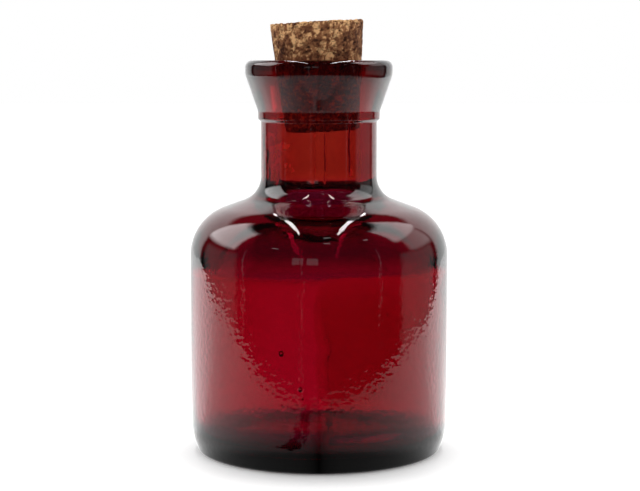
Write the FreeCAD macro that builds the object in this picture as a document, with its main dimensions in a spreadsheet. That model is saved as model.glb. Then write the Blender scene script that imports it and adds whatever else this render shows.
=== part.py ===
"""Small stoppered glass bottle: a thick-walled blown bottle with a cork that leans in its mouth.

All sizes are in millimetres. The bottle stands on the origin with its axis along +Z.
"""

import FreeCAD, Part
import math
import os

import Sketcher

# Driving sizes: name, value.
SIZES = [
    # Body of the bottle
    ("body_diameter", 80.0),
    ("wall_height", 72.2),  # foot to the corner where the wall and the shoulder would meet
    ("wall_thickness", 4.0),
    ("shoulder_rise", 8.0),  # height gained by the shoulder between the wall and the neck
    ("shoulder_thickness", 6.5),
    ("shoulder_round", 15.7),
    ("inner_round", 18.0),  # inside the shoulder
    # Foot
    ("heel_height", 5.85),
    ("heel_setback", 2.45),  # how far the heel slopes in under the wall
    ("heel_round", 15.0),
    ("foot_round", 1.65),
    ("ring_width", 4.2),  # from the heel's corner in to the push-up
    ("push_up", 1.3),
    ("floor_thickness", 4.0),
    ("floor_crown", 0.8),
    ("inner_heel_round", 5.0),
    # Neck
    ("neck_diameter", 36.0),
    ("neck_length", 22.3),  # shoulder corner to the band
    ("neck_thickness", 5.3),
    ("neck_round", 7.9),
    ("bore_round", 6.0),  # where the bore opens into the body
    # Finish: band, flare and lip
    ("band_step", 0.9),
    ("band_slope", 0.7),
    ("band_height", 2.4),
    ("flare_height", 11.2),
    ("flare_width", 3.9),
    ("flare_round", 3.0),
    ("lip_height", 4.8),
    ("lip_fall", 0.4),  # the lip's top slopes outward by this much
    ("lip_round", 3.8),
    ("mouth_widening", 0.95),
    ("mouth_taper", 24.0),  # the bore widens towards the mouth over this height
    ("mouth_round", 1.6),
    # Cork
    ("cork_depth", 20.4),  # below the ring where it touches the mouth
    ("cork_stand", 13.1),  # above that ring
    ("cork_play", 0.27),  # how much smaller than the mouth the cork is there, on radius
    ("cork_gap", 0.15),  # left between the cork and the glass that it leans on
    ("cork_taper", 0.0945),  # radius gained per height
    ("cork_edge", 0.5),
]

# Sizes that follow from the driving ones: name, formula.
FORMULAS = [
    ("body_radius", "=body_diameter / 2"),
    ("inner_radius", "=body_radius - wall_thickness"),
    ("heel_radius", "=body_radius - heel_setback"),
    ("push_up_radius", "=heel_radius - ring_width"),
    ("floor_top", "=floor_thickness + floor_crown"),
    ("neck_radius", "=neck_diameter / 2"),
    ("bore_radius", "=neck_radius - neck_thickness"),
    ("band_radius", "=neck_radius + band_step"),
    ("lip_radius", "=band_radius + flare_width"),
    ("mouth_radius", "=bore_radius + mouth_widening"),
    ("neck_root", "=wall_height + shoulder_rise"),
    ("band_bottom", "=neck_root + neck_length"),
    ("band_base", "=band_bottom + band_slope"),
    ("band_top", "=band_base + band_height"),
    ("flare_top", "=band_top + flare_height"),
    ("glass_height", "=flare_top + lip_height"),
    ("lip_edge", "=glass_height - lip_fall"),
    ("taper_start", "=glass_height - mouth_taper"),
    # The inner shoulder runs parallel to the outer one.
    ("shoulder_pitch", "=shoulder_rise / (body_radius - neck_radius)"),
    ("shoulder_drop", "=shoulder_thickness * sqrt(1 + shoulder_pitch ^ 2)"),
    ("inner_shoulder", "=wall_height + wall_thickness * shoulder_pitch - shoulder_drop"),
    ("bore_end", "=neck_root + neck_thickness * shoulder_pitch - shoulder_drop"),
    # The cork leans: it meets the glass at one side of the mouth and, across from there, at its own foot.
    ("ring_height", "=glass_height - mouth_round"),
    ("ring_radius", "=mouth_radius - mouth_widening * mouth_round / mouth_taper"),
    ("cork_foot", "=-cork_depth"),
    ("cork_ring_radius", "=ring_radius - cork_play"),
    ("cork_foot_radius", "=cork_ring_radius - cork_depth * cork_taper"),
    ("cork_top_radius", "=cork_ring_radius + cork_stand * cork_taper"),
    ("cork_foot_offset", "=bore_radius - cork_gap - cork_foot_radius"),
    ("cork_level_offset", "=cork_ring_radius + cork_gap - ring_radius"),
    ("cork_pitch", "=(cork_foot_offset - cork_level_offset) / cork_depth"),
    # Leaning dips the side that meets the mouth, which brings a wider part of the cork to the ring.
    ("cork_dip", "=cork_ring_radius * cork_pitch"),
    ("cork_ring_offset", "=cork_level_offset + cork_dip * (cork_pitch + cork_taper)"),
    ("cork_lean", "=atan((cork_foot_offset - cork_ring_offset) / cork_depth)"),
]

ORIGIN, V_AXIS = -1, -2  # a sketch's own origin point and upright axis
START, END, CENTRE = 1, 2, 3  # points of a sketched line or arc
TOLERANCE = 0.001


def make_sheet(doc):
    """Spreadsheet with one named cell for each size."""
    sheet = doc.addObject("Spreadsheet::Sheet", "Sizes")
    for row, (name, content) in enumerate(SIZES + FORMULAS, start=1):
        sheet.set(f"A{row}", name)
        sheet.set(f"B{row}", str(content))
        sheet.setAlias(f"B{row}", name)
    doc.recompute()
    return sheet


def present(sheet, formula):
    """What a size, or a formula on sizes, comes to now."""
    return float(sheet.evalExpression(formula))


def bind(sketch, line, end, corner):
    """Ties one end of a sketched line to its named radius and height, where "0" is the axis or the ground."""
    here = sketch.getPoint(line, end)
    for kind, name, value in (("DistanceX", corner[0], here.x), ("DistanceY", corner[1], here.y)):
        index = sketch.addConstraint(Sketcher.Constraint(kind, ORIGIN, START, line, end, value))
        if name != "0":
            sketch.setExpression(f"Constraints[{index}]", f"Sizes.{name}")


def half_section(sheet, body, name, corners, crown=None):
    """Sketch on the body's XZ plane of a closed outline, from corners of (radius name, height name).

    Lines join the corners. With a crown, which names a height on the axis, a dome centred on the axis
    joins it to the first corner.
    """
    sketch = body.newObject("Sketcher::SketchObject", name)
    plane = next(item for item in body.Origin.OriginFeatures if item.Role == "XZ_Plane")
    sketch.AttachmentSupport = [(plane, "")]
    sketch.MapMode = "FlatFace"

    stops = corners + [("0", crown) if crown else corners[0]]
    points = [FreeCAD.Vector(present(sheet, across), present(sheet, height), 0) for across, height in stops]
    lines = [
        sketch.addGeometry(Part.LineSegment(begin, end), False)
        for begin, end in zip(points, points[1:])
    ]
    for line, corner in zip(lines, corners):
        bind(sketch, line, START, corner)
    for line, following in zip(lines, lines[1:]):
        sketch.addConstraint(Sketcher.Constraint("Coincident", line, END, following, START))
    if crown is None:
        sketch.addConstraint(Sketcher.Constraint("Coincident", lines[-1], END, lines[0], START))
        return sketch

    bind(sketch, lines[-1], END, stops[-1])
    rim, top = points[0], points[-1]
    rise = top.y - rim.y
    radius = (rim.x**2 + rise**2) / (2 * rise)
    circle = Part.Circle(FreeCAD.Vector(0, top.y - radius, 0), FreeCAD.Vector(0, 0, 1), radius)
    rim_angle = math.atan2(rim.y - top.y + radius, rim.x)
    dome = sketch.addGeometry(Part.ArcOfCircle(circle, rim_angle, math.pi / 2), False)
    sketch.addConstraint(Sketcher.Constraint("PointOnObject", dome, CENTRE, V_AXIS))
    sketch.addConstraint(Sketcher.Constraint("Coincident", dome, START, lines[0], START))
    sketch.addConstraint(Sketcher.Constraint("Coincident", dome, END, lines[-1], END))
    return sketch


def turn(body, kind, name, sketch):
    """Full turn of a half section about the body's axis: a Revolution adds and a Groove cuts."""
    feature = body.newObject(f"PartDesign::{kind}", name)
    feature.Profile = sketch
    feature.ReferenceAxis = (sketch, ["V_Axis"])
    feature.Angle = 360
    return feature


def is_ring(edge, radius, height):
    """Whether an edge is a circle round the axis at this radius and height."""
    if edge.Degenerated or not isinstance(edge.Curve, Part.Circle):
        return False
    centre = edge.Curve.Center
    return (
        abs(edge.Curve.Radius - radius) < TOLERANCE
        and abs(centre.z - height) < TOLERANCE
        and math.hypot(centre.x, centre.y) < TOLERANCE
    )


def round_corners(sheet, body, corners):
    """Fillets the rings that the corners of a half section have turned into.

    Each entry is (name, radius name, height name, fillet's size name).
    """
    for name, across, height, rounding in corners:
        body.Document.recompute()
        base = body.Tip
        ring = (present(sheet, across), present(sheet, height))
        numbered = enumerate(base.Shape.Edges, start=1)
        edges = [f"Edge{index}" for index, edge in numbered if is_ring(edge, *ring)]
        if not edges:
            raise RuntimeError(f"{body.Label}: no edge for {name}")
        fillet = body.newObject("PartDesign::Fillet", name)
        fillet.Base = (base, edges)
        fillet.setExpression("Radius", f"Sizes.{rounding}")


def stop_if_failed(doc):
    """Raises an error if any object of the document couldn't be worked out."""
    for item in doc.Objects:
        if {"Invalid", "Error"} & set(item.State):
            raise RuntimeError(f"{item.Label} failed: {item.State}")


def make_bottle(doc, sheet):
    """Glass bottle with its true cavity, as one solid."""
    body = doc.addObject("PartDesign::Body", "bottle")
    outline = half_section(
        sheet,
        body,
        "bottle_outline",
        [
            ("push_up_radius", "0"),
            ("heel_radius", "0"),
            ("body_radius", "heel_height"),
            ("body_radius", "wall_height"),
            ("neck_radius", "neck_root"),
            ("neck_radius", "band_bottom"),
            ("band_radius", "band_base"),
            ("band_radius", "band_top"),
            ("lip_radius", "flare_top"),
            ("lip_radius", "lip_edge"),
            ("mouth_radius", "glass_height"),
            ("0", "glass_height"),
        ],
        crown="push_up",
    )
    turn(body, "Revolution", "bottle_glass", outline)
    round_corners(
        sheet,
        body,
        [
            ("foot_edge", "heel_radius", "0", "foot_round"),
            ("heel", "body_radius", "heel_height", "heel_round"),
            ("shoulder", "body_radius", "wall_height", "shoulder_round"),
            ("neck_root_curve", "neck_radius", "neck_root", "neck_round"),
            ("flare_curve", "lip_radius", "flare_top", "flare_round"),
            ("lip", "lip_radius", "lip_edge", "lip_round"),
        ],
    )
    doc.recompute()
    solid_volume = body.Shape.Volume

    hollow = half_section(
        sheet,
        body,
        "cavity_outline",
        [
            ("inner_radius", "floor_thickness"),
            ("inner_radius", "inner_shoulder"),
            ("bore_radius", "bore_end"),
            ("bore_radius", "taper_start"),
            ("mouth_radius", "glass_height"),
            ("0", "glass_height"),
        ],
        crown="floor_top",
    )
    turn(body, "Groove", "cavity", hollow)
    doc.recompute()
    stop_if_failed(doc)
    if body.Shape.Volume > solid_volume / 2:
        raise RuntimeError("the cavity has cut too little")
    round_corners(
        sheet,
        body,
        [
            ("inner_heel", "inner_radius", "floor_thickness", "inner_heel_round"),
            ("inner_shoulder_curve", "inner_radius", "inner_shoulder", "inner_round"),
            ("bore_curve", "bore_radius", "bore_end", "bore_round"),
            ("mouth", "mouth_radius", "glass_height", "mouth_round"),
        ],
    )
    return body


def make_cork(doc, sheet):
    """Tapered cork, turned about its own axis; its origin is where it passes the mouth's narrowest ring."""
    body = doc.addObject("PartDesign::Body", "cork")
    outline = half_section(
        sheet,
        body,
        "cork_outline",
        [
            ("0", "cork_foot"),
            ("cork_foot_radius", "cork_foot"),
            ("cork_top_radius", "cork_stand"),
            ("0", "cork_stand"),
        ],
    )
    turn(body, "Revolution", "cork_blank", outline)
    round_corners(
        sheet,
        body,
        [
            ("cork_foot_edge", "cork_foot_radius", "cork_foot", "cork_edge"),
            ("cork_top_edge", "cork_top_radius", "cork_stand", "cork_edge"),
        ],
    )
    lean_axis = FreeCAD.Vector(0, -1, 0)
    body.Placement = FreeCAD.Placement(FreeCAD.Vector(), FreeCAD.Rotation(lean_axis, 1))
    body.setExpression(".Placement.Base.x", "Sizes.cork_ring_offset")
    body.setExpression(".Placement.Base.z", "Sizes.ring_height")
    body.setExpression(".Placement.Rotation.Angle", "Sizes.cork_lean")
    return body


def check(doc, bodies):
    """Stops before anything is written if a feature failed or a piece isn't one valid solid."""
    stop_if_failed(doc)
    for body in bodies:
        shape = body.Shape
        if shape.isNull() or not shape.isValid() or len(shape.Solids) != 1:
            raise RuntimeError(f"{body.Label} isn't one valid solid")


def main():
    doc = FreeCAD.newDocument("StopperedBottle")
    sheet = make_sheet(doc)
    bodies = [make_bottle(doc, sheet), make_cork(doc, sheet)]
    doc.recompute()
    check(doc, bodies)

    os.makedirs("parts", exist_ok=True)
    for body in bodies:
        body.Shape.exportStep(f"parts/{body.Label}.step")
        box = body.Shape.BoundBox
        print(
            f"{body.Label}: volume {body.Shape.Volume:.0f} mm3,"
            f" x {box.XMin:.2f} to {box.XMax:.2f}, z {box.ZMin:.2f} to {box.ZMax:.2f}"
        )


main()
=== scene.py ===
"""Looks for the stoppered glass bottle: thick red glass around air, and a leaning agglomerated cork."""

import math
from functools import partial

import bpy
import numpy as np
from mathutils import Matrix, Vector, noise


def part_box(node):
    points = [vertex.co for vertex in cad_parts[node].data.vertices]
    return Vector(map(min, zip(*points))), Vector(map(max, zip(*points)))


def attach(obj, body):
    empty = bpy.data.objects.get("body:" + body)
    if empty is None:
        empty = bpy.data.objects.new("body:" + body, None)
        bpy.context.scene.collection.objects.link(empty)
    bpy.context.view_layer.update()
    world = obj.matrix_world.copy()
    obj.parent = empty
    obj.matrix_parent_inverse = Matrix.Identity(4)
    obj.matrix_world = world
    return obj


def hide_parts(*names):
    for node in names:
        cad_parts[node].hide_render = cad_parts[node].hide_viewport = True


MM = 0.001
SEGMENTS = 256  # points round the glass

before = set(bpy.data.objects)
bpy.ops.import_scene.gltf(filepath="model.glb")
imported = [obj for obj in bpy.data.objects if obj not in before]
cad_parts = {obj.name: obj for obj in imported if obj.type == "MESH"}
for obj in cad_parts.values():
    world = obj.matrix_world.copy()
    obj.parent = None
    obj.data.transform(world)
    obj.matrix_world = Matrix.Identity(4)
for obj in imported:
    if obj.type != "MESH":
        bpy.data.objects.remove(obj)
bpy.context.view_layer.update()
glass_low, glass_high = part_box("bottle")
axis = (glass_low + glass_high) / 2

# Outline of the glass from the axis under the foot, out and up to the mouth, and back down inside.
# Each corner is (radius, height, rounding) in millimetres, as in the CAD model, apart from a slightly
# rounder lip and flare.
OUTSIDE = [
    (0, 1.30, 0), (20, 0.83, 30), (33.35, 0.05, 1.2), (37.55, 0.0, 1.65), (40.0, 5.85, 15.0),
    (40.0, 72.2, 15.7), (18.0, 80.2, 7.9), (18.0, 102.5, 0.5), (18.9, 103.2, 0.6),
    (18.9, 105.6, 1.6), (22.8, 116.9, 6.0), (22.8, 121.2, 4.6), (13.65, 121.6, 1.6),
    (13.0, 105.0, 20.0),
]
INSIDE = [
    (13.0, 105.0, 20.0), (12.7, 92.0, 20.0), (12.7, 74.9, 6.0), (36.0, 66.5, 18.0),
    (36.0, 4.0, 5.0), (18, 4.6, 20), (0, 4.8, 0),
]
OUTSIDE_STEP, INSIDE_STEP = 1.1, 1.3  # millimetres from one ring of points to the next
BODY_RADIUS = 40
ARC_STEP = 5  # about the most degrees between two points on a rounded corner


def rounded(corners, step):
    """Points at about even steps along the line through the corners, each rounded by its own arc."""
    points = [np.array(corners[0][:2], float)]
    for i in range(1, len(corners) - 1):
        before, here, after = (np.array(corners[j][:2], float) for j in (i - 1, i, i + 1))
        a, b = before - here, after - here
        la, lb = np.linalg.norm(a), np.linalg.norm(b)
        a, b = a / la, b / lb
        turn = math.pi - math.acos(max(-1.0, min(1.0, float(a @ b))))
        radius = corners[i][2]
        if radius <= 0 or turn < 1e-4:
            points.append(here)
            continue
        # The arc takes up less than half of each side, so that neighbouring arcs stay apart.
        reach = min(radius * math.tan(turn / 2), 0.49 * la, 0.49 * lb)
        radius = reach / math.tan(turn / 2)
        middle = a + b
        middle /= np.linalg.norm(middle)
        centre = here + middle * radius / math.cos(turn / 2)
        start, end = here + a * reach - centre, here + b * reach - centre
        parts = max(3, int(turn * radius / step) + 2, int(math.degrees(turn) / ARC_STEP))
        spin = math.atan2(start[0] * end[1] - start[1] * end[0], start @ end)
        for k in range(parts + 1):
            angle = spin * k / parts
            c, s = math.cos(angle), math.sin(angle)
            points.append(centre + np.array((c * start[0] - s * start[1], s * start[0] + c * start[1])))
    points.append(np.array(corners[-1][:2], float))
    line = [points[0]]
    for point in points[1:]:
        gap = np.linalg.norm(point - line[-1])
        if gap < 1e-6:
            continue
        parts = max(1, round(gap / step))
        begin = line[-1]
        line += [begin + (point - begin) * k / parts for k in range(1, parts + 1)]
    return np.array(line)


def lathe(line, segments):
    """Points and faces turned about the axis from a line of (radius, height) whose ends lie on the axis."""
    angles = np.arange(segments) * 2 * math.pi / segments
    rings = line[1:-1]
    x = rings[:, :1] * np.cos(angles)[None, :]
    y = rings[:, :1] * np.sin(angles)[None, :]
    z = np.repeat(rings[:, 1:], segments, axis=1)
    points = np.stack((x, y, z), axis=-1).reshape(-1, 3)
    first, last = len(points), len(points) + 1
    points = np.vstack((points, [[0, 0, line[0, 1]], [0, 0, line[-1, 1]]]))
    ahead = (np.arange(segments) + 1) % segments
    faces = []
    for row in range(len(rings) - 1):
        low, high = row * segments, (row + 1) * segments
        faces += [
            (low + k, low + ahead[k], high + ahead[k], high + k) for k in range(segments)
        ]
    top = (len(rings) - 1) * segments
    faces += [(first, int(ahead[k]), k) for k in range(segments)]
    faces += [(last, top + k, top + int(ahead[k])) for k in range(segments)]
    return points, [tuple(int(v) for v in face) for face in faces]


def add_mesh(name, points, faces, materials):
    mesh = bpy.data.meshes.new(name)
    mesh.from_pydata([tuple(p) for p in points], [], faces)
    mesh.validate()
    for material in materials:
        mesh.materials.append(material)
    mesh.polygons.foreach_set("use_smooth", [True] * len(mesh.polygons))
    mesh.update()
    piece = bpy.data.objects.new(name, mesh)
    bpy.context.scene.collection.objects.link(piece)
    return piece


def fractal(point, scale, octaves=2, seed=0.0):
    """Smooth noise from about -1 to 1, at a scale in millimetres."""
    value, size, total = 0.0, 1.0, 0.0
    for _ in range(octaves):
        value += size * noise.noise(Vector(point) / scale + Vector((seed, seed * 1.7, -seed)))
        total += size
        size *= 0.5
        scale *= 0.5
    return value / total


def ease(value, start, end):
    """Smooth step from 0 at the start to 1 at the end."""
    share = min(1.0, max(0.0, (value - start) / (end - start)))
    return share * share * (3 - 2 * share)


# ---------------------------------------------------------------- nodes
def material(name):
    made = bpy.data.materials.new(name)
    made.use_nodes = True
    made.node_tree.nodes.clear()
    return made, made.node_tree.nodes, made.node_tree.links


def calculate(nodes, links, operation, *values, clamp=False):
    """Math node on numbers or other nodes' outputs; gives its output."""
    node = nodes.new("ShaderNodeMath")
    node.operation = operation
    node.use_clamp = clamp
    for socket, value in zip(node.inputs, values):
        if isinstance(value, (int, float)):
            socket.default_value = value
        else:
            links.new(value, socket)
    return node.outputs[0]


def falloff(nodes, links, value, inner, outer):
    """1 below the inner value, 0 above the outer one."""
    node = nodes.new("ShaderNodeMapRange")
    node.interpolation_type = "SMOOTHSTEP"
    node.inputs["From Min"].default_value = inner
    node.inputs["From Max"].default_value = outer
    node.inputs["To Min"].default_value = 1.0
    node.inputs["To Max"].default_value = 0.0
    links.new(value, node.inputs["Value"])
    return node.outputs[0]


def split_axes(nodes, links, vector):
    """The three outputs of a vector's Separate XYZ node."""
    node = nodes.new("ShaderNodeSeparateXYZ")
    links.new(vector, node.inputs[0])
    return node.outputs["X"], node.outputs["Y"], node.outputs["Z"]


def colour_ramp(nodes, links, value, stops):
    """Colours by a value from 0 to 1, through stops of (value, (red, green, blue)) in order."""
    node = nodes.new("ShaderNodeValToRGB")
    elements = node.color_ramp.elements
    for element, (position, _) in zip(elements, (stops[0], stops[-1])):
        element.position = position
    for position, _ in stops[1:-1]:
        elements.new(position)
    for element, (_, colour) in zip(elements, stops):
        element.color = (*colour, 1)
    links.new(value, node.inputs[0])
    return node.outputs[0]


def mix_shader(nodes, links, share, first, second):
    """The first shader where the share is 0, the second where it is 1."""
    node = nodes.new("ShaderNodeMixShader")
    links.new(share, node.inputs[0])
    links.new(first, node.inputs[1])
    links.new(second, node.inputs[2])
    return node.outputs[0]


# ---------------------------------------------------------------- materials
# The mould seam in metres: its place across the front, its width, and the planes it stays ahead of and over.
SEAM_X, SEAM_WIDTH, SEAM_FRONT, SEAM_LOW = -0.0054, 0.00022, -0.035, 0.022
# Colour of the glass from the foot to the mouth, with painted shade in it: share of the height, colour. The
# foot and the band under the shoulder are painted darker than the crimson body as shade, the neck is more
# orange, and the lip is darker.
GLASS_TINT_AND_SHADE = [
    (0.045, (0.18, 0.05, 0.11)), (0.055, (0.28, 0.12, 0.30)), (0.068, (0.32, 0.12, 0.30)),
    (0.083, (0.755, 0.10, 0.28)), (0.466, (0.755, 0.10, 0.26)), (0.502, (0.30, 0.20, 0.30)),
    (0.555, (0.44, 0.30, 0.55)), (0.590, (0.62, 0.35, 0.85)), (0.640, (0.60, 0.30, 0.80)),
    (0.700, (0.88, 1.0, 0.36)), (0.955, (0.92, 1.0, 0.38)), (0.972, (0.30, 0.30, 0.40)),
]
# The tint and its painted shade lie lower at the back by this much per unit, which keeps the foot's painted
# shade off the wall seen behind it.
GLASS_TINT_AND_SHADE_TILT = 0.10
CORK_COLOURS = [
    (0.42, (0.055, 0.016, 0.006)), (0.60, (0.145, 0.050, 0.020)), (0.75, (0.26, 0.102, 0.042)),
    (0.90, (0.42, 0.195, 0.082)), (1.0, (0.84, 0.48, 0.22)),
]


def glass_material():
    made, nodes, links = material("red_glass")
    math_node, fade = partial(calculate, nodes, links), partial(falloff, nodes, links)
    out = nodes.new("ShaderNodeOutputMaterial")
    shader = nodes.new("ShaderNodeBsdfPrincipled")
    shader.inputs["Transmission Weight"].default_value = 1.0
    shader.inputs["IOR"].default_value = 1.52
    shader.inputs["Roughness"].default_value = 0.0
    where = nodes.new("ShaderNodeTexCoord")
    x, y, z = split_axes(nodes, links, where.outputs["Object"])
    fine = nodes.new("ShaderNodeTexNoise")
    fine.inputs["Scale"].default_value = 600.0
    fine.inputs["Detail"].default_value = 1.0
    links.new(where.outputs["Object"], fine.inputs["Vector"])
    # A fine mould seam runs up the front of the body.
    seam = fade(math_node("ABSOLUTE", math_node("SUBTRACT", x, SEAM_X)), 0.0, SEAM_WIDTH)
    seam = math_node("MULTIPLY", seam, math_node("LESS_THAN", y, SEAM_FRONT))
    seam = math_node("MULTIPLY", seam, math_node("GREATER_THAN", z, SEAM_LOW))
    # The body is rougher than the shoulder and the neck.
    rough = math_node("MULTIPLY_ADD", fade(z, 0.056, 0.066), 0.85, 0.15)
    ripple = math_node("MULTIPLY", rough, fine.outputs["Fac"])
    bump = nodes.new("ShaderNodeBump")
    bump.inputs["Strength"].default_value = 1.0
    bump.inputs["Distance"].default_value = 0.00006
    links.new(math_node("MULTIPLY_ADD", seam, 0.35, ripple), bump.inputs["Height"])
    links.new(bump.outputs["Normal"], shader.inputs["Normal"])
    # Tint by height, in which the foot and the band under the shoulder hold painted shade.
    level = math_node("MULTIPLY_ADD", y, GLASS_TINT_AND_SHADE_TILT, z)
    share = math_node("DIVIDE", level, float(glass_high.z))
    links.new(colour_ramp(nodes, links, share, GLASS_TINT_AND_SHADE), shader.inputs["Base Color"])
    links.new(shader.outputs["BSDF"], out.inputs["Surface"])
    tint = nodes.new("ShaderNodeVolumeAbsorption")
    tint.inputs["Color"].default_value = (0.80, 0.16, 0.40, 1)
    tint.inputs["Density"].default_value = 500.0
    links.new(tint.outputs["Volume"], out.inputs["Volume"])
    return made


def cork_material():
    made, nodes, links = material("cork")
    out = nodes.new("ShaderNodeOutputMaterial")
    shader = nodes.new("ShaderNodeBsdfPrincipled")
    shader.inputs["Roughness"].default_value = 0.82
    shader.inputs["Specular IOR Level"].default_value = 0.25
    where = nodes.new("ShaderNodeTexCoord")
    # The points' colours hold the granules' tone, with a painted highlight near the top, and how far a point
    # lies in a crack, pit or hole, where painted shade darkens it.
    grain_and_painted_light = nodes.new("ShaderNodeAttribute")
    grain_and_painted_light.attribute_name = "grain_and_painted_light"
    parts = nodes.new("ShaderNodeSeparateColor")
    links.new(grain_and_painted_light.outputs["Color"], parts.inputs[0])
    fine = nodes.new("ShaderNodeTexNoise")
    fine.inputs["Scale"].default_value = 1300.0
    fine.inputs["Detail"].default_value = 4.0
    fine.inputs["Roughness"].default_value = 0.65
    links.new(where.outputs["Object"], fine.inputs["Vector"])
    tone = calculate(nodes, links, "MULTIPLY_ADD", fine.outputs["Fac"], 0.55, parts.outputs[0])
    # Painted shade darkens the cracks, pits and holes.
    crevice_shade = nodes.new("ShaderNodeMix")
    crevice_shade.data_type = "RGBA"
    crevice_shade.inputs["B"].default_value = (0.035, 0.011, 0.005, 1)
    links.new(parts.outputs[1], crevice_shade.inputs["Factor"])
    links.new(colour_ramp(nodes, links, tone, CORK_COLOURS), crevice_shade.inputs["A"])
    links.new(crevice_shade.outputs["Result"], shader.inputs["Base Color"])
    bump = nodes.new("ShaderNodeBump")
    bump.inputs["Strength"].default_value = 0.6
    bump.inputs["Distance"].default_value = 0.0002
    links.new(fine.outputs["Fac"], bump.inputs["Height"])
    links.new(bump.outputs["Normal"], shader.inputs["Normal"])
    links.new(shader.outputs["BSDF"], out.inputs["Surface"])
    return made


# ---------------------------------------------------------------- glass
# Drips inside the neck: distance across, lower end, width and thickness in millimetres.
DRIPS = [(-1.6, 83, 0.55, 0.60), (2.0, 82, 0.40, 0.65), (8.6, 86, 0.45, 0.50)]
# Bubbles in the wall: angle from the front (degrees), height, depth in the wall, size in millimetres.
BUBBLES = [
    (-16.5, 36.0, 1.8, 0.75), (-8.0, 25.5, 1.9, 0.60), (-7.0, 22.8, 1.2, 0.30), (14.0, 19.5, 2.2, 0.25),
    (31.0, 47.0, 1.5, 0.28), (-52.0, 58.0, 2.0, 0.30), (95.0, 30.0, 1.8, 0.35), (160.0, 44.0, 1.6, 0.40),
    (-120.0, 18.0, 2.1, 0.30), (-150.0, 52.0, 1.5, 0.25), (60.0, 12.0, 2.0, 0.32),
]
BUBBLE_STRETCH = 1.25  # height over width


def bubble_mesh(first):
    """Points and faces of small round hollows in the wall, faced inwards and numbered from first."""
    points, faces = [], []
    across, up = 16, 10
    for turn, height, depth, size in BUBBLES:
        angle = math.radians(turn - 90)
        out = BODY_RADIUS - depth
        middle = Vector((out * math.cos(angle), out * math.sin(angle), height))
        start = first + len(points)
        for j in range(1, up):
            tilt = math.pi * j / up
            for k in range(across):
                spin = 2 * math.pi * k / across
                flat = math.sin(tilt)
                up_by = BUBBLE_STRETCH * math.cos(tilt)
                points.append(middle + Vector((flat * math.cos(spin), flat * math.sin(spin), up_by)) * size)
        end = Vector((0, 0, BUBBLE_STRETCH * size))
        points += [middle + end, middle - end]
        top, bottom = start + (up - 1) * across, start + (up - 1) * across + 1
        for k in range(across):
            ahead = (k + 1) % across
            for j in range(up - 2):
                low, high = start + j * across, start + (j + 1) * across
                faces.append((low + k, low + ahead, high + ahead, high + k))
            faces.append((top, start + ahead, start + k))
            last = start + (up - 2) * across
            faces.append((bottom, last + k, last + ahead))
    return points, faces


def outside_push(x, y, z):
    """How far a point of the outside moves outwards, in millimetres: a faint ripple inside the outline."""
    return -0.02 - 0.004 * fractal((x, y, z), 3.0, 2, 3.0) - 0.012 * fractal((x, y, z * 0.5), 16.0, 1, 9.0)


def inside_push(x, y, z, radius):
    """How far a point of the inside moves outwards, in millimetres, which thins the glass there."""
    push = 0.20 * fractal((x, y, z * 0.3), 12.0, 2, 7.0)
    neck = ease(z, 70, 80)
    streaks = 0.12 * fractal((x, y, z * 0.18), 2.6, 2, 5.0) + 0.12 * fractal((x, y, z * 0.6), 8.0, 1, 1.0)
    push = push * (1 - neck) + streaks * neck
    if neck and y < 0:
        # Drips down the front of the bore.
        for at, low, wide, tall in DRIPS:
            here = at + 0.5 * noise.noise(Vector((at, 2.0, z / 3.0)))
            push -= tall * math.exp(-(((x - here) / wide) ** 2)) * ease(z, low, low + 2) * neck
    # A lumpy patch at the bore's left.
    lumps = neck * ease(-x, 6, 10) * (1 - ease(z, 97, 100))
    push += lumps * 0.60 * fractal((x, y, z), 2.8, 2, 17.0)
    # The wall is a little thinner low down.
    push += 0.35 * (1 - neck) * ease(z, 6, 12) * (1 - ease(z, 16, 34))
    # The glass is rough where the neck opens into the body.
    mouth = math.exp(-(((z - 75.0) / 4.0) ** 2)) * (1 - ease(radius, 18, 26))
    push += mouth * 0.50 * fractal((x, y, z), 4.6, 2, 13.0)
    # The right half of the body is thicker, past a long wandering fold, and evens out at its right edge.
    fold = 0.6 + 2.4 * noise.noise(Vector((3.1, 0.7, z / 14.0)))
    fold += 1.3 * noise.noise(Vector((8.1, 5.2, z / 5.0)))
    crease = 0.30 * math.exp(-(((x - fold) / 0.7) ** 2)) * (y < 0)
    thick = 1.9 * ease(x, fold, fold + 3.4) + crease
    push -= thick * ease(z, 6, 12) * (1 - ease(z, 44, 60)) * (1 - 0.6 * ease(x, 18, 30))
    return push


def wave_glass(points, rows_outside):
    """Gives the blown glass its uneven surfaces: a faint ripple outside, folds, drips and lumps inside."""
    radius = np.hypot(points[:, 0], points[:, 1])
    for i, (x, y, z) in enumerate(points):
        if radius[i] < 0.5:
            continue
        outer = i < rows_outside * SEGMENTS
        push = outside_push(x, y, z) if outer else inside_push(x, y, z, radius[i])
        if z < 6 and radius[i] < 34:
            # Under the foot and on the floor the points move up and down, the floor's more.
            points[i, 2] += 0.5 * push
            if not outer:
                points[i, 2] += 0.30 * fractal((x, y, 0), 6.0, 2, 23.0) * (1 - ease(radius[i], 26, 33))
        else:
            points[i, 0] += x * push / radius[i]
            points[i, 1] += y * push / radius[i]


def make_glass():
    outside, inside = rounded(OUTSIDE, OUTSIDE_STEP), rounded(INSIDE, INSIDE_STEP)
    points, faces = lathe(np.vstack((outside, inside[1:])), SEGMENTS)
    wave_glass(points, len(outside) - 1)
    bubbles, bubble_faces = bubble_mesh(len(points))
    points = np.vstack((points, np.array([tuple(p) for p in bubbles])))
    faces += bubble_faces
    points *= MM
    points[:, 0] += axis.x
    points[:, 1] += axis.y
    points[:, 2] += max(0.0, glass_low.z)
    piece = add_mesh("bottle_glass", points, faces, [glass_material()])
    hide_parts("bottle")
    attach(piece, "root")


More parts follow.
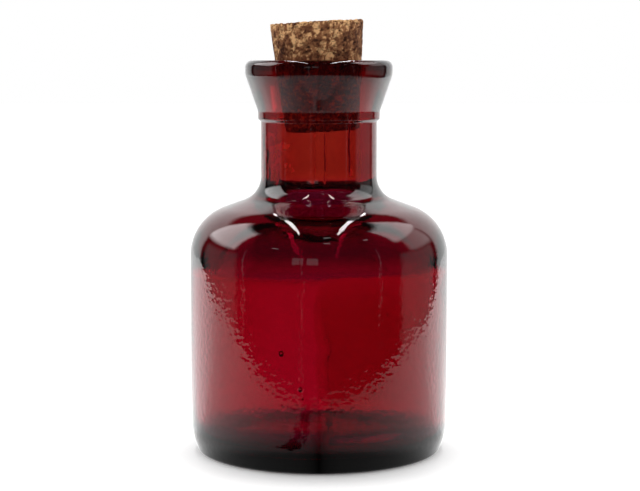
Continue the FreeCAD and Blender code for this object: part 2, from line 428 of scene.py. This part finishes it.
# ---------------------------------------------------------------- cork
# The cork leans to the left about the middle of its ring, where it meets the mouth. In millimetres: the
# ring's place and radius, how far the cork reaches below and above it, and its taper per millimetre.
CORK_LEAN = math.radians(3.226)
CORK_RING = (0.01, 0.0, 120.0)
CORK_RADIUS, CORK_DEPTH, CORK_STAND, CORK_TAPER = 13.32, 20.4, 13.1, 0.0945
CORK_STEP, CORK_SEGMENTS = 0.3, 288  # from one ring of points to the next, and points in a ring
BIG_GRANULE, SMALL_GRANULE = 2.5, 0.85  # about how wide the two sizes of cork chips are


def granule(point, size, seed):
    """Random number of the cork granule that a point lies in, and how far inside its edge it is."""
    distances, centres = noise.voronoi(Vector(point) / size + Vector((seed, -seed, seed)))
    centre = centres[0]
    pick = math.sin(centre.x * 12.9898 + centre.y * 78.233 + centre.z * 37.719) * 43758.5453
    return pick - math.floor(pick), distances[1] - distances[0]


def make_cork():
    low, high = -CORK_DEPTH, CORK_STAND
    line = rounded(
        [
            (0, low, 0), (CORK_RADIUS + low * CORK_TAPER, low, 0.9),
            (CORK_RADIUS + high * CORK_TAPER, high, 0.5), (0, high, 0),
        ],
        CORK_STEP,
    )
    points, faces = lathe(line, CORK_SEGMENTS)
    shades = np.zeros((len(points), 4), np.float32)
    for i, (x, y, z) in enumerate(points):
        warped = (
            x + 0.5 * noise.noise(Vector((x, y, z)) / 1.5),
            y + 0.5 * noise.noise(Vector((y, z, x)) / 1.5),
            z + 0.5 * noise.noise(Vector((z, x, y)) / 1.5),
        )
        big, big_edge = granule(warped, BIG_GRANULE, 4.0)
        small, small_edge = granule(warped, SMALL_GRANULE, 11.0)
        patch = fractal((x, y, z), 4.0, 3, 2.0)
        pit = max(0.0, fractal((x, y, z * 1.6), 1.1, 2, 21.0) - 0.20) * 3.2
        crack = max(0.0, 1.0 - big_edge / 0.09) * (0.5 + 0.5 * (patch > 0))
        worn = 0.5 + fractal(warped, 0.7, 2, 41.0)
        hole = max(0.0, (small - 0.88) / 0.12) * min(1.0, small_edge * 5) * worn
        sunk = 0.06 + 0.16 * big + 0.22 * crack + 0.5 * min(pit, 1.0)
        sunk += 0.35 * hole * min(1.0, small_edge * 3)
        radius = math.hypot(x, y)
        if low + 0.02 < z < high - 0.02:
            # The side: it crumbles more towards the top edge.
            edge_near = max(0.0, 1.0 - (high - z) / 1.2)
            sunk += 0.5 * edge_near * max(0.0, fractal((x, y, 0), 1.8, 2, 31.0) + 0.1)
            points[i, 0] -= x / radius * sunk
            points[i, 1] -= y / radius * sunk
        else:
            points[i, 2] -= math.copysign(sunk, z)
        # Chips broken off the top edge, and a painted highlight that makes the cork paler near the top.
        chipped = max(0.0, fractal((x, y, 0), 1.5, 3, 37.0) + 0.08)
        points[i, 2] -= 0.75 * ease(z, high - 1.2, high) * ease(radius, 9, 13) * chipped
        top_highlight = 0.18 * ease(z, high - 3.0, high) * (patch > -0.1)
        tone = top_highlight + 0.53 + 0.34 * (big - 0.5) + 0.40 * (small - 0.5) + 0.34 * patch
        # The second value is how strongly painted shade darkens a crack, pit or hole.
        shades[i] = (tone, max(crack * 0.7, min(1.0, pit * 1.1), hole), big, 1.0)
    lean = np.array(Matrix.Rotation(-CORK_LEAN, 3, "Y"))
    points = (points @ lean.T + np.array(CORK_RING)) * MM
    piece = add_mesh("agglomerated_cork", points, faces, [cork_material()])
    layer = piece.data.color_attributes.new("grain_and_painted_light", "FLOAT_COLOR", "POINT")
    layer.data.foreach_set("color", shades.ravel())
    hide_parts("cork")
    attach(piece, "root")


# ---------------------------------------------------------------- stage
# The studio is a white table with a bright backdrop behind it and a large lit panel at each side.
# Seen in reflections, the table ends a little way in front of the object, and the room there is dark.
TABLE_WHITE = 0.88
TABLE_LEFT, TABLE_RIGHT, TABLE_SPREAD = 0.385, 0.298, 0.3  # half widths, and how they grow further back
TABLE_MIDDLE, TABLE_REACH = 0.05, 0.203  # where its rounded front starts, and how far that comes forward
GAP_X, GAP_WIDTH, GAP_FRONT = -0.022, 0.008, -0.058  # dark gap in its front: middle, half width, start
# How bright the table looks in reflections, by azimuth from straight behind: most near the side panels.
TABLE_BRIGHTEST = 2.0
TABLE_LEVELS = [
    (0, 1.2), (25, 1.3), (50, 2.0), (68, 2.0), (82, 1.5), (95, 1.2), (112, 0.95),
    (126, 0.72), (140, 0.5), (155, 0.35), (172, 0.25),
]
# azimuth from straight behind, elevation, half width, half height (degrees), softness, brightness
PANELS = [
    (0, -27, 50, 65, 7, 1.2),  # backdrop
    (-72, 36, 24, 16, 7, 4.2),  # side panels
    (70, 47, 27, 13, 7, 3.0),
    (70, 27, 18, 12, 8, 1.2),
    (-80, 0, 22, 14, 8, 0.3),
    (80, 0, 22, 14, 8, 0.35),
    (0, -60, 181, 38, 8, 0.5),  # floor of the room
    (-174.5, 9, 4.8, 7, 0.5, 0.65),  # two panes of a window in front
    (-161.5, 9, 4.8, 7, 0.5, 0.65),
    (-136, 33, 3, 1.2, 0.5, 1.8),  # small lamps
    (168, 62, 5, 1.2, 0.5, 2.6),
    (171, 49, 3.5, 1.2, 0.5, 1.7),
    (124, 49, 3, 1.2, 0.5, 1.8),
    (-164.5, -6, 0.5, 14, 0.4, 0.4),  # thin frame of the opening
    (-109.5, 7, 0.6, 17, 0.5, 0.5),
    (124.5, 10, 0.6, 18, 0.5, 0.5),
]
FLOOR_SIZE, FLOOR_DROP = 8.0, 0.00005  # the drop keeps the table just clear of the foot
# The shadow under the object is painted on the table: where the table's painted glow fades out, forwards and
# narrower.
PAINTED_SHADOW_MIDDLE, PAINTED_SHADOW_SQUEEZE = -0.012, 1.15  # the shadow under the object lies forwards, and is narrower
GLOW_FROM, GLOW_TO, GLOW = 0.020, 0.056, 0.42  # distances where the table turns white, and its own light
# In reflections a painted shadow dims the table near the object.
DIM_FROM, DIM_TO, DIM = 0.036, 0.050, 0.5  # distances where its dimmer part ends in reflections, how dim
ROOM = 0.02  # brightness of the dark room
LIGHT, LIGHT_SHARE = 0.62, 0.30  # even light on the table and the cork, and their share of the panels' light
CEILING = 37  # degrees above the horizon where the pale walls end and the dark ceiling starts
# Two long strip lamps overhead, one at each side; then the camera, its dip in degrees and its lens.
STRIP_X, STRIP_Y, STRIP_Z = 0.144, 0.225, 0.68
STRIP_SIZE, STRIP_POWER = (0.025, 0.95), 1.15
CAMERA_PLACE, CAMERA_DIP, CAMERA_LENS = (0.00034, -0.5534, 0.1225), 6.05, 100.5


def make_floor():
    bpy.ops.mesh.primitive_plane_add(size=FLOOR_SIZE, location=(0, 0, -FLOOR_DROP))
    floor = bpy.context.object
    floor.name = "floor"
    made, nodes, links = material("floor")
    math_node, fade = partial(calculate, nodes, links), partial(falloff, nodes, links)
    mix = partial(mix_shader, nodes, links)

    out = nodes.new("ShaderNodeOutputMaterial")
    diffuse = nodes.new("ShaderNodeBsdfDiffuse")
    diffuse.inputs["Color"].default_value = (TABLE_WHITE, TABLE_WHITE, TABLE_WHITE, 1)
    path = nodes.new("ShaderNodeLightPath")
    where = nodes.new("ShaderNodeNewGeometry")
    x, y, _ = split_axes(nodes, links, where.outputs["Position"])
    wider = nodes.new("ShaderNodeVectorMath")
    wider.operation = "MULTIPLY"
    wider.inputs[1].default_value = (PAINTED_SHADOW_SQUEEZE, 1, 1)
    links.new(where.outputs["Position"], wider.inputs[0])
    range_from = nodes.new("ShaderNodeVectorMath")
    range_from.operation = "DISTANCE"
    range_from.inputs[1].default_value = (0, PAINTED_SHADOW_MIDDLE, 0)
    links.new(wider.outputs[0], range_from.inputs[0])
    distance = range_from.outputs["Value"]

    # The camera sees the table go to white away from the object by a painted glow, which fades out near the
    # object and so paints its shadow there.
    glow = nodes.new("ShaderNodeEmission")
    away = math_node("SUBTRACT", 1.0, fade(distance, GLOW_FROM, GLOW_TO))
    links.new(math_node("MULTIPLY", away, GLOW), glow.inputs["Strength"])
    lit_and_glowing = nodes.new("ShaderNodeAddShader")
    links.new(diffuse.outputs[0], lit_and_glowing.inputs[0])
    links.new(glow.outputs[0], lit_and_glowing.inputs[1])
    shown = mix(path.outputs["Is Camera Ray"], diffuse.outputs[0], lit_and_glowing.outputs[0])

    # Reflections see it brighter towards the side panels, and ending at its rounded front edge.
    azimuth = math_node("ABSOLUTE", math_node("DEGREES", math_node("ARCTAN2", x, y)))
    levels = nodes.new("ShaderNodeFloatCurve")
    curve = levels.mapping.curves[0]
    for index, (degrees, level) in enumerate(TABLE_LEVELS):
        place = (degrees / 180, level / TABLE_BRIGHTEST)
        if index == 0:
            curve.points[0].location = place
        else:
            curve.points.new(*place)
    curve.points[-1].location = (1.0, 0.02)
    levels.mapping.update()
    links.new(math_node("DIVIDE", azimuth, 180.0), levels.inputs["Value"])
    level = math_node("MULTIPLY", levels.outputs["Value"], TABLE_BRIGHTEST)
    # Painted shadow: the table dims near the object in reflections.
    shadow_dimmed = math_node("SUBTRACT", 1.0, math_node("MULTIPLY", fade(distance, DIM_FROM, DIM_TO), DIM))
    mirrored = nodes.new("ShaderNodeEmission")
    links.new(math_node("MULTIPLY", level, shadow_dimmed), mirrored.inputs["Strength"])
    # The table's outline: half of an ellipse in front, and sides that spread towards the back.
    behind = math_node("MAXIMUM", math_node("SUBTRACT", y, TABLE_MIDDLE), 0.0)
    ahead = math_node("MAXIMUM", math_node("SUBTRACT", TABLE_MIDDLE, y), 0.0)
    ahead = math_node("DIVIDE", ahead, TABLE_REACH)
    side = math_node("MULTIPLY", math_node("LESS_THAN", x, 0.0), TABLE_LEFT - TABLE_RIGHT)
    side = math_node("ADD", side, TABLE_RIGHT)
    side = math_node("ADD", side, math_node("MULTIPLY", behind, TABLE_SPREAD))
    across = math_node("DIVIDE", x, side)
    squares = math_node("ADD", math_node("MULTIPLY", across, across), math_node("MULTIPLY", ahead, ahead))
    past = math_node("GREATER_THAN", squares, 1.0)
    gap = math_node("LESS_THAN", math_node("ABSOLUTE", math_node("SUBTRACT", x, GAP_X)), GAP_WIDTH)
    gap = math_node("MULTIPLY", gap, math_node("LESS_THAN", y, GAP_FRONT))
    past = math_node("MAXIMUM", past, gap)
    clear = nodes.new("ShaderNodeBsdfTransparent")
    table = mix(past, mirrored.outputs[0], clear.outputs[0])
    # Only mirror reflections see that table, not what is seen through the glass.
    is_glossy, is_through = path.outputs["Is Glossy Ray"], path.outputs["Is Transmission Ray"]
    reflected = math_node("SUBTRACT", is_glossy, is_through, clamp=True)
    links.new(mix(reflected, shown, table), out.inputs["Surface"])
    floor.data.materials.append(made)


def make_world():
    world = bpy.data.worlds.new("studio")
    bpy.context.scene.world = world
    world.use_nodes = True
    nodes, links = world.node_tree.nodes, world.node_tree.links
    nodes.clear()
    math_node, fade = partial(calculate, nodes, links), partial(falloff, nodes, links)
    mix = partial(mix_shader, nodes, links)

    def background(strength):
        node = nodes.new("ShaderNodeBackground")
        node.inputs["Color"].default_value = (1, 1, 1, 1)
        if isinstance(strength, float):
            node.inputs["Strength"].default_value = strength
        else:
            links.new(strength, node.inputs["Strength"])
        return node.outputs[0]

    out = nodes.new("ShaderNodeOutputWorld")
    path = nodes.new("ShaderNodeLightPath")
    where = nodes.new("ShaderNodeTexCoord")
    x, y, z = split_axes(nodes, links, where.outputs["Generated"])
    azimuth = math_node("DEGREES", math_node("ARCTAN2", x, y))
    elevation = math_node("DEGREES", math_node("ARCSINE", z))
    room = ROOM
    for turn, rise, half_width, half_height, soft, level in PANELS:
        across = math_node("ABSOLUTE", math_node("SUBTRACT", azimuth, float(turn)))
        up = math_node("ABSOLUTE", math_node("SUBTRACT", elevation, float(rise)))
        patch = math_node(
            "MULTIPLY",
            fade(across, half_width - soft / 2, half_width + soft / 2),
            fade(up, half_height - soft / 2, half_height + soft / 2),
        )
        room = math_node("MAXIMUM", room, math_node("MULTIPLY", patch, float(level)))
    # What lights the table and the cork, what mirror reflections see, and what is seen through the glass.
    lighting = background(math_node("ADD", math_node("MULTIPLY", room, LIGHT_SHARE), LIGHT))
    mirrored = background(room)
    walls = fade(elevation, CEILING - 3, CEILING + 5)
    through = background(math_node("MAXIMUM", room, walls))
    white = background(1.0)
    shader = mix(path.outputs["Is Glossy Ray"], lighting, mirrored)
    shader = mix(path.outputs["Is Transmission Ray"], shader, through)
    shader = mix(path.outputs["Is Camera Ray"], shader, white)
    links.new(shader, out.inputs["Surface"])


def softbox(name, place, size, power):
    """Rectangular lamp that faces straight down."""
    lamp = bpy.data.lights.new(name, "AREA")
    lamp.shape = "RECTANGLE"
    lamp.size, lamp.size_y = size
    lamp.energy = power
    holder = bpy.data.objects.new(name, lamp)
    bpy.context.scene.collection.objects.link(holder)
    holder.location = place


def make_camera():
    data = bpy.data.cameras.new("camera")
    data.sensor_width = 36.0
    data.lens = CAMERA_LENS
    data.clip_start = 0.01
    camera = bpy.data.objects.new("camera", data)
    bpy.context.scene.collection.objects.link(camera)
    camera.location = CAMERA_PLACE
    camera.rotation_euler = (math.radians(90 - CAMERA_DIP), 0, 0)
    bpy.context.scene.camera = camera


make_glass()
make_cork()
make_floor()
make_world()
for side in (-1, 1):
    softbox(f"strip_{side}", (side * STRIP_X, STRIP_Y, STRIP_Z), STRIP_SIZE, STRIP_POWER)
make_camera()
bpy.context.scene.view_settings.view_transform = "Standard"
